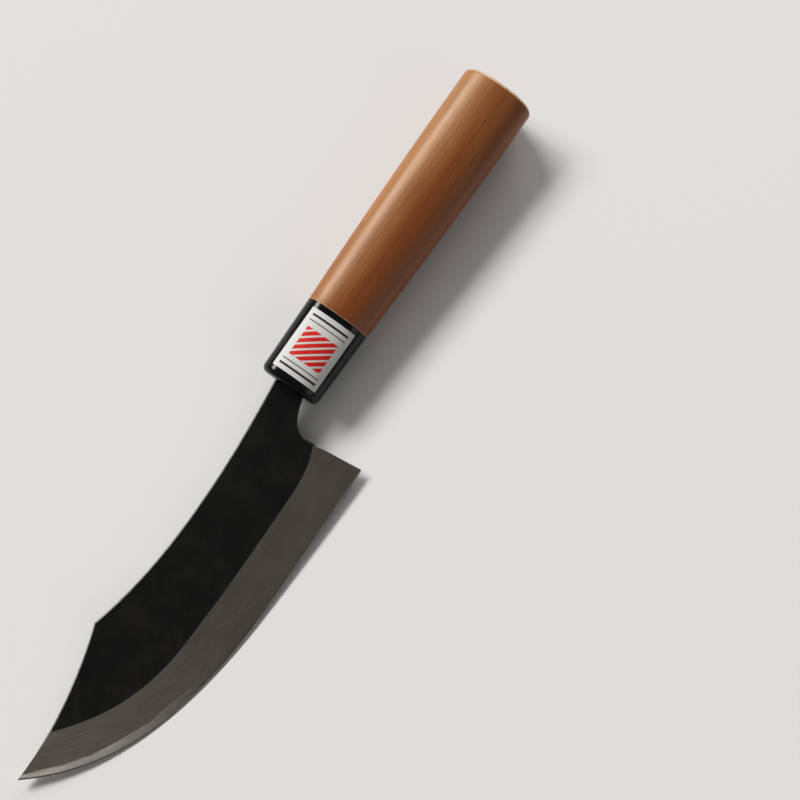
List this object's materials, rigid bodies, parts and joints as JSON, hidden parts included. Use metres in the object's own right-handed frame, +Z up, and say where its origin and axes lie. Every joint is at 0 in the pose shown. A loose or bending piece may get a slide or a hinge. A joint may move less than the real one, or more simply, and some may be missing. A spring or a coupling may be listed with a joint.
{
  "type": "skinning knife",
  "caption": "Skinning knife with a forged laminated blade, upswept edge and clipped point, on a straight oval wooden handle with a black collar, lying on its right side.",
  "frame": {"origin": "middle of the lying knife's bounding box, on the table it rests on", "axes": "+X along the handle towards the tip, +Y towards the side that the cutting edge is on, +Z up, with the blade's left face uppermost"},
  "size_m": [0.2828, 0.0496, 0.0218],
  "materials": {
    "edge_steel": "hard carbon steel, ground satin at the cutting edge",
    "forged_iron": "soft iron, black forge scale on the flats and ground satin grey on the bevel",
    "black_collar": "black moulded resin, semi-gloss",
    "handle_wood": "straight-grained reddish-brown wood, lightly sealed satin",
    "label_paper": null
  },
  "bodies": {
    "root": {"core_steel": "edge_steel", "cladding_left": "forged_iron", "cladding_right": "forged_iron", "ferrule": "black_collar", "handle": "handle_wood", "label": "label_paper"}
  },
  "joints": []
}
